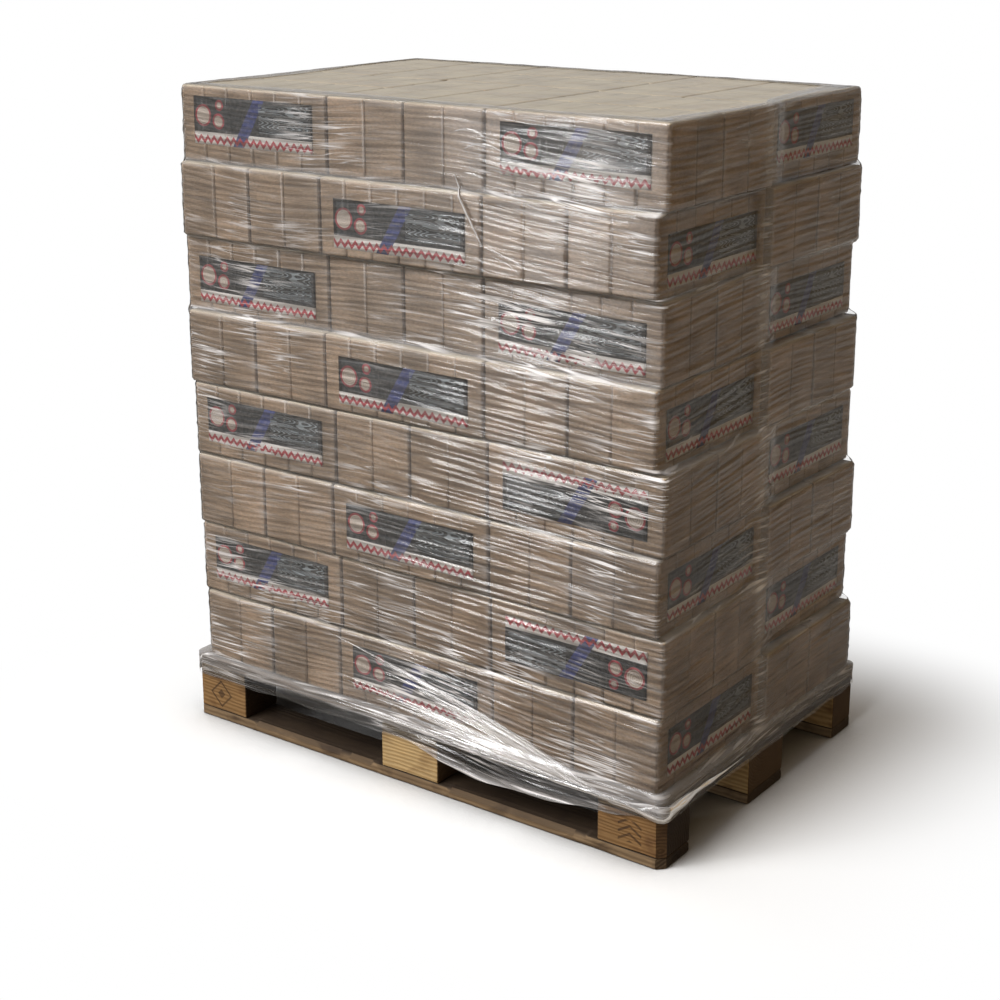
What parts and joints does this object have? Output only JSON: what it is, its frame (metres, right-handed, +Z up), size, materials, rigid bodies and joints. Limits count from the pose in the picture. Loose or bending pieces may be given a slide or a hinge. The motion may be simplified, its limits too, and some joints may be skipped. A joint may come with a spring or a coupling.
{
  "type": "pallet of firewood briquettes",
  "caption": "Timber pallet stacked with interlocked layers of film-packed pressed-wood briquettes, labelled and stretch-wrapped.",
  "frame": {"origin": "centre of the pallet's footprint on the floor", "axes": "+X along the pallet's length, front long side at -Y, +Z up"},
  "size_m": [1.203, 0.803, 1.376],
  "materials": {
    "pallet_pale": "sawn, pale yellow",
    "pallet_grey": "sawn, weathered grey brown",
    "briquette": "pressed sawdust under clear film",
    "label": "printed label",
    "film": "clear stretch film"
  },
  "bodies": {
    "root": {"bottom_boards": "pallet_pale", "blocks": "pallet_pale", "cross_boards": "pallet_grey", "deck_boards": "pallet_grey", "layer_1": "briquette", "layer_2": "briquette", "layer_3": "briquette", "layer_4": "briquette", "layer_5": "briquette", "layer_6": "briquette", "layer_7": "briquette", "layer_8": "briquette", "labels_front": "label", "labels_right": "label", "stretch_film": "film"}
  },
  "joints": []
}
